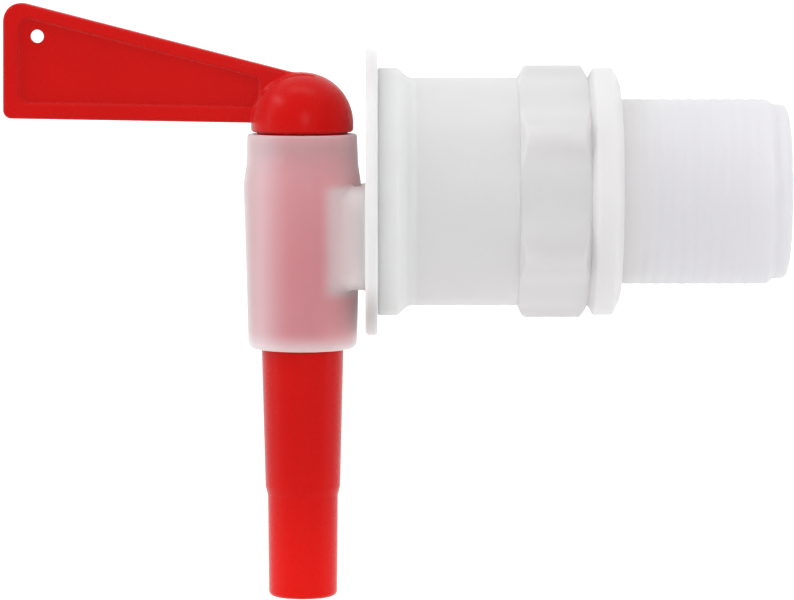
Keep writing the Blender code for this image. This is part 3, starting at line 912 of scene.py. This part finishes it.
def adaptor_colour(nodes, place, milk):
    """Milky plastic, whiter at the hub and collar where thick and lifted there by painted light, painted
    shade on the hexagon's corners, and bluish on the nose with painted shade.
    """
    along = nodes.part_of(place, "X")
    hub = nodes.ramped(along, HUB_INSIDE, 1, 0)
    past_groove = nodes.ramped(along, COLLAR_GROOVE, 0, COLLAR_SHARE)
    past_seat = nodes.ramped(along, COLLAR_SEAT, 0, COLLAR_SHARE)
    collar = past_groove - past_seat
    hexagon = nodes.ramped(along, HEXAGON_BACK, 0, 1) * nodes.ramped(along, HEXAGON_FRONT, 1, 0)
    # painted shade on the hexagon's corners
    corners = hexagon * nodes.ramped(from_axis(nodes, place), HEXAGON_CORNERS, 0, 1)
    # bluish tint and painted shade along the nose
    wall = nodes.mixed(nodes.ramped(along, NOSE_ROOT, NOSE_ROOT_SHARE, 1), milk, shade(*NOSE_TINT_AND_PAINTED_SHADE))
    wall = nodes.mixed(corners, wall, shade(*PAINTED_CORNER_SHADE))
    # hub and collar whiter where thick, with painted light on the hub
    return nodes.mixed(hub + collar, wall, shade(*THICK_WALL_AND_PAINTED_LIGHT))


def natural_plastic(name, clear, milk, depth, haze, coloured):
    """Undyed moulded plastic: milky, with light passing through it, a fine grain and faint flow marks."""
    material = bpy.data.materials.new(name)
    nodes = Nodes(material)
    place = nodes.node("ShaderNodeTexCoord", output=3)
    cloud = nodes.noise(place, 110, 3.0, 0.55)
    grain = nodes.noise(place, 2200, 2.0, 0.6)
    marks = nodes.noise(place, 380, 3.0, 0.6)
    colour = nodes.mixed(cloud, shade(*(CLOUD_SHADE * part for part in milk)), shade(*milk))
    plastic = nodes.node("ShaderNodeBsdfPrincipled", None, {
        "Base Color": coloured(nodes, place, colour),
        "Roughness": 0.38 + marks * 0.12,
        "Normal": nodes.bumped(grain * 0.6 + marks * 0.4, 0.000025),
        "IOR": 1.5,
        "Specular IOR Level": 0.18,
        "Transmission Weight": clear,
        "Subsurface Weight": 1.0,
        "Subsurface Radius": (1.0, 0.95, 0.95),
        "Subsurface Scale": depth,
        "Sheen Weight": haze,
        "Sheen Roughness": 0.5,
    })
    nodes.node("ShaderNodeOutputMaterial", None, {"Surface": plastic})
    return material


# Stage, in metres

FLOOR_Z = -0.125
FLOOR_HALF = 30.0
FLOOR_FADE = (0.25, 1.6)
FLOOR_LIFT = (0.25, 0.25, 0.25)
FLOOR_FAR_LIFT = (0.5, 0.5, 0.5)
WORLD_LIGHT = (0.94, 0.94, 0.94)
FRONT_LIGHT = (0.84, 0.84, 0.84)
TOWARDS_FRONT = (-1, -0.5)
IMAGE_WIDTH = 794
SENSOR_WIDTH = 36
FOCAL_PIXELS = 4215
CAMERA_PLACE = (-0.0352, -0.6027, 0.0352)
CAMERA_AIM = (-0.0317, 0, -0.0156)

# Softboxes: name, place, aim, size and power in watts
SOFTBOXES = (
    ("top_softbox", (-0.04, -0.06, 0.62), (-0.03, 0, 0), (0.5, 0.12), 0.65),
    ("left_softbox", (-0.65, -0.1, 0.12), (-0.03, 0, -0.01), (0.12, 0.6), 0.35),
    ("upper_left_softbox", (-0.48, -0.1, 0.44), (-0.03, 0, 0), (0.3, 0.08), 0.65),
    ("right_softbox", (0.6, -0.12, 0.1), (-0.03, 0, -0.01), (0.12, 0.6), 0.35),
    ("front_softbox", (0.06, -0.73, 0.18), (-0.045, 0, -0.01), (0.16, 0.3), 0.75),
)


def floor_piece():
    """A pale floor that the camera sees as white away from the shadow."""
    material = bpy.data.materials.new("pale_floor")
    nodes = Nodes(material)
    place = nodes.node("ShaderNodeTexCoord", output=3)
    mottle = nodes.noise(place, 40, 2.0)
    distance = nodes.node("ShaderNodeVectorMath", {"operation": "LENGTH"}, {0: place}, output=1)
    far = nodes.ramped(distance, FLOOR_FADE, 0, 1)
    lit = nodes.node("ShaderNodeBsdfDiffuse", None, {
        "Color": nodes.mixed(mottle, shade(0.88, 0.88, 0.88), shade(0.90, 0.90, 0.90)),
    })
    glow = nodes.node("ShaderNodeEmission", None, {
        "Color": nodes.mixed(far, shade(*FLOOR_LIFT), shade(*FLOOR_FAR_LIFT)),
    })
    lifted = nodes.node("ShaderNodeAddShader", None, {0: lit, 1: glow})
    seen = nodes.seen("Is Camera Ray", "Is Glossy Ray", "Is Transmission Ray")
    nodes.node("ShaderNodeOutputMaterial", None, {
        "Surface": nodes.node("ShaderNodeMixShader", None, {0: seen, 1: lit, 2: lifted}),
    })

    shape = bmesh.new()
    bmesh.ops.create_grid(shape, x_segments=1, y_segments=1, size=FLOOR_HALF)
    bmesh.ops.translate(shape, verts=shape.verts[:], vec=(0, 0, FLOOR_Z))
    floor = as_object("floor", shape)
    floor.data.materials.append(material)


def lamp(name, place, aim, size, power):
    """A soft rectangular lamp that faces its aim."""
    light = bpy.data.lights.new(name, "AREA")
    light.shape = "RECTANGLE"
    light.size, light.size_y = size
    light.energy = power
    obj = bpy.data.objects.new(name, light)
    obj.location = place
    obj.rotation_euler = (Vector(aim) - Vector(place)).to_track_quat("-Z", "Y").to_euler()
    bpy.context.scene.collection.objects.link(obj)


def studio():
    """An even pale surround, white to the camera, that is darker on the camera's side of the object."""
    world = bpy.data.worlds.new("studio")
    nodes = Nodes(world)
    direction = nodes.node("ShaderNodeTexCoord")
    away = nodes.ramped(nodes.part_of(direction, "Y"), TOWARDS_FRONT, 0, 1)
    light = nodes.node("ShaderNodeBackground", None, {
        "Color": nodes.mixed(away, shade(*FRONT_LIGHT), shade(*WORLD_LIGHT)),
    })
    white = nodes.node("ShaderNodeBackground", None, {"Color": shade(1, 1, 1)})
    seen = nodes.seen("Is Camera Ray", "Is Transmission Ray")
    nodes.node("ShaderNodeOutputWorld", None, {
        "Surface": nodes.node("ShaderNodeMixShader", None, {0: seen, 1: light, 2: white}),
    })
    bpy.context.scene.world = world


def camera():
    """The camera at the photograph's angle, with its focal length given in pixels of the picture."""
    lens = bpy.data.cameras.new("camera")
    lens.sensor_width = SENSOR_WIDTH
    lens.lens = SENSOR_WIDTH * FOCAL_PIXELS / IMAGE_WIDTH
    obj = bpy.data.objects.new("camera", lens)
    obj.location = CAMERA_PLACE
    obj.rotation_euler = (Vector(CAMERA_AIM) - Vector(CAMERA_PLACE)).to_track_quat("-Z", "Y").to_euler()
    bpy.context.scene.collection.objects.link(obj)
    bpy.context.scene.camera = obj


# The whole scene

camera()
studio()
floor_piece()
for softbox in SOFTBOXES:
    lamp(*softbox)
bpy.context.scene.view_settings.view_transform = "Standard"

red = red_plastic()
body_plastic = natural_plastic(
    "natural_plastic_body", clear=0.35, milk=BODY_MILK, depth=0.003, haze=1.0, coloured=barrel_colour)
adaptor_plastic = natural_plastic(
    "natural_plastic_adaptor", clear=0.3, milk=ADAPTOR_MILK, depth=0.0045, haze=0.3, coloured=adaptor_colour)

finished(lever_plug_object(), "plug", "lever_plug", red)
finished(tap_body_object(), "tap", "tap_body", body_plastic)
adaptor = as_object("threaded_adaptor_moulding", adaptor_shape())
finished(adaptor, "tap", "threaded_adaptor", adaptor_plastic)
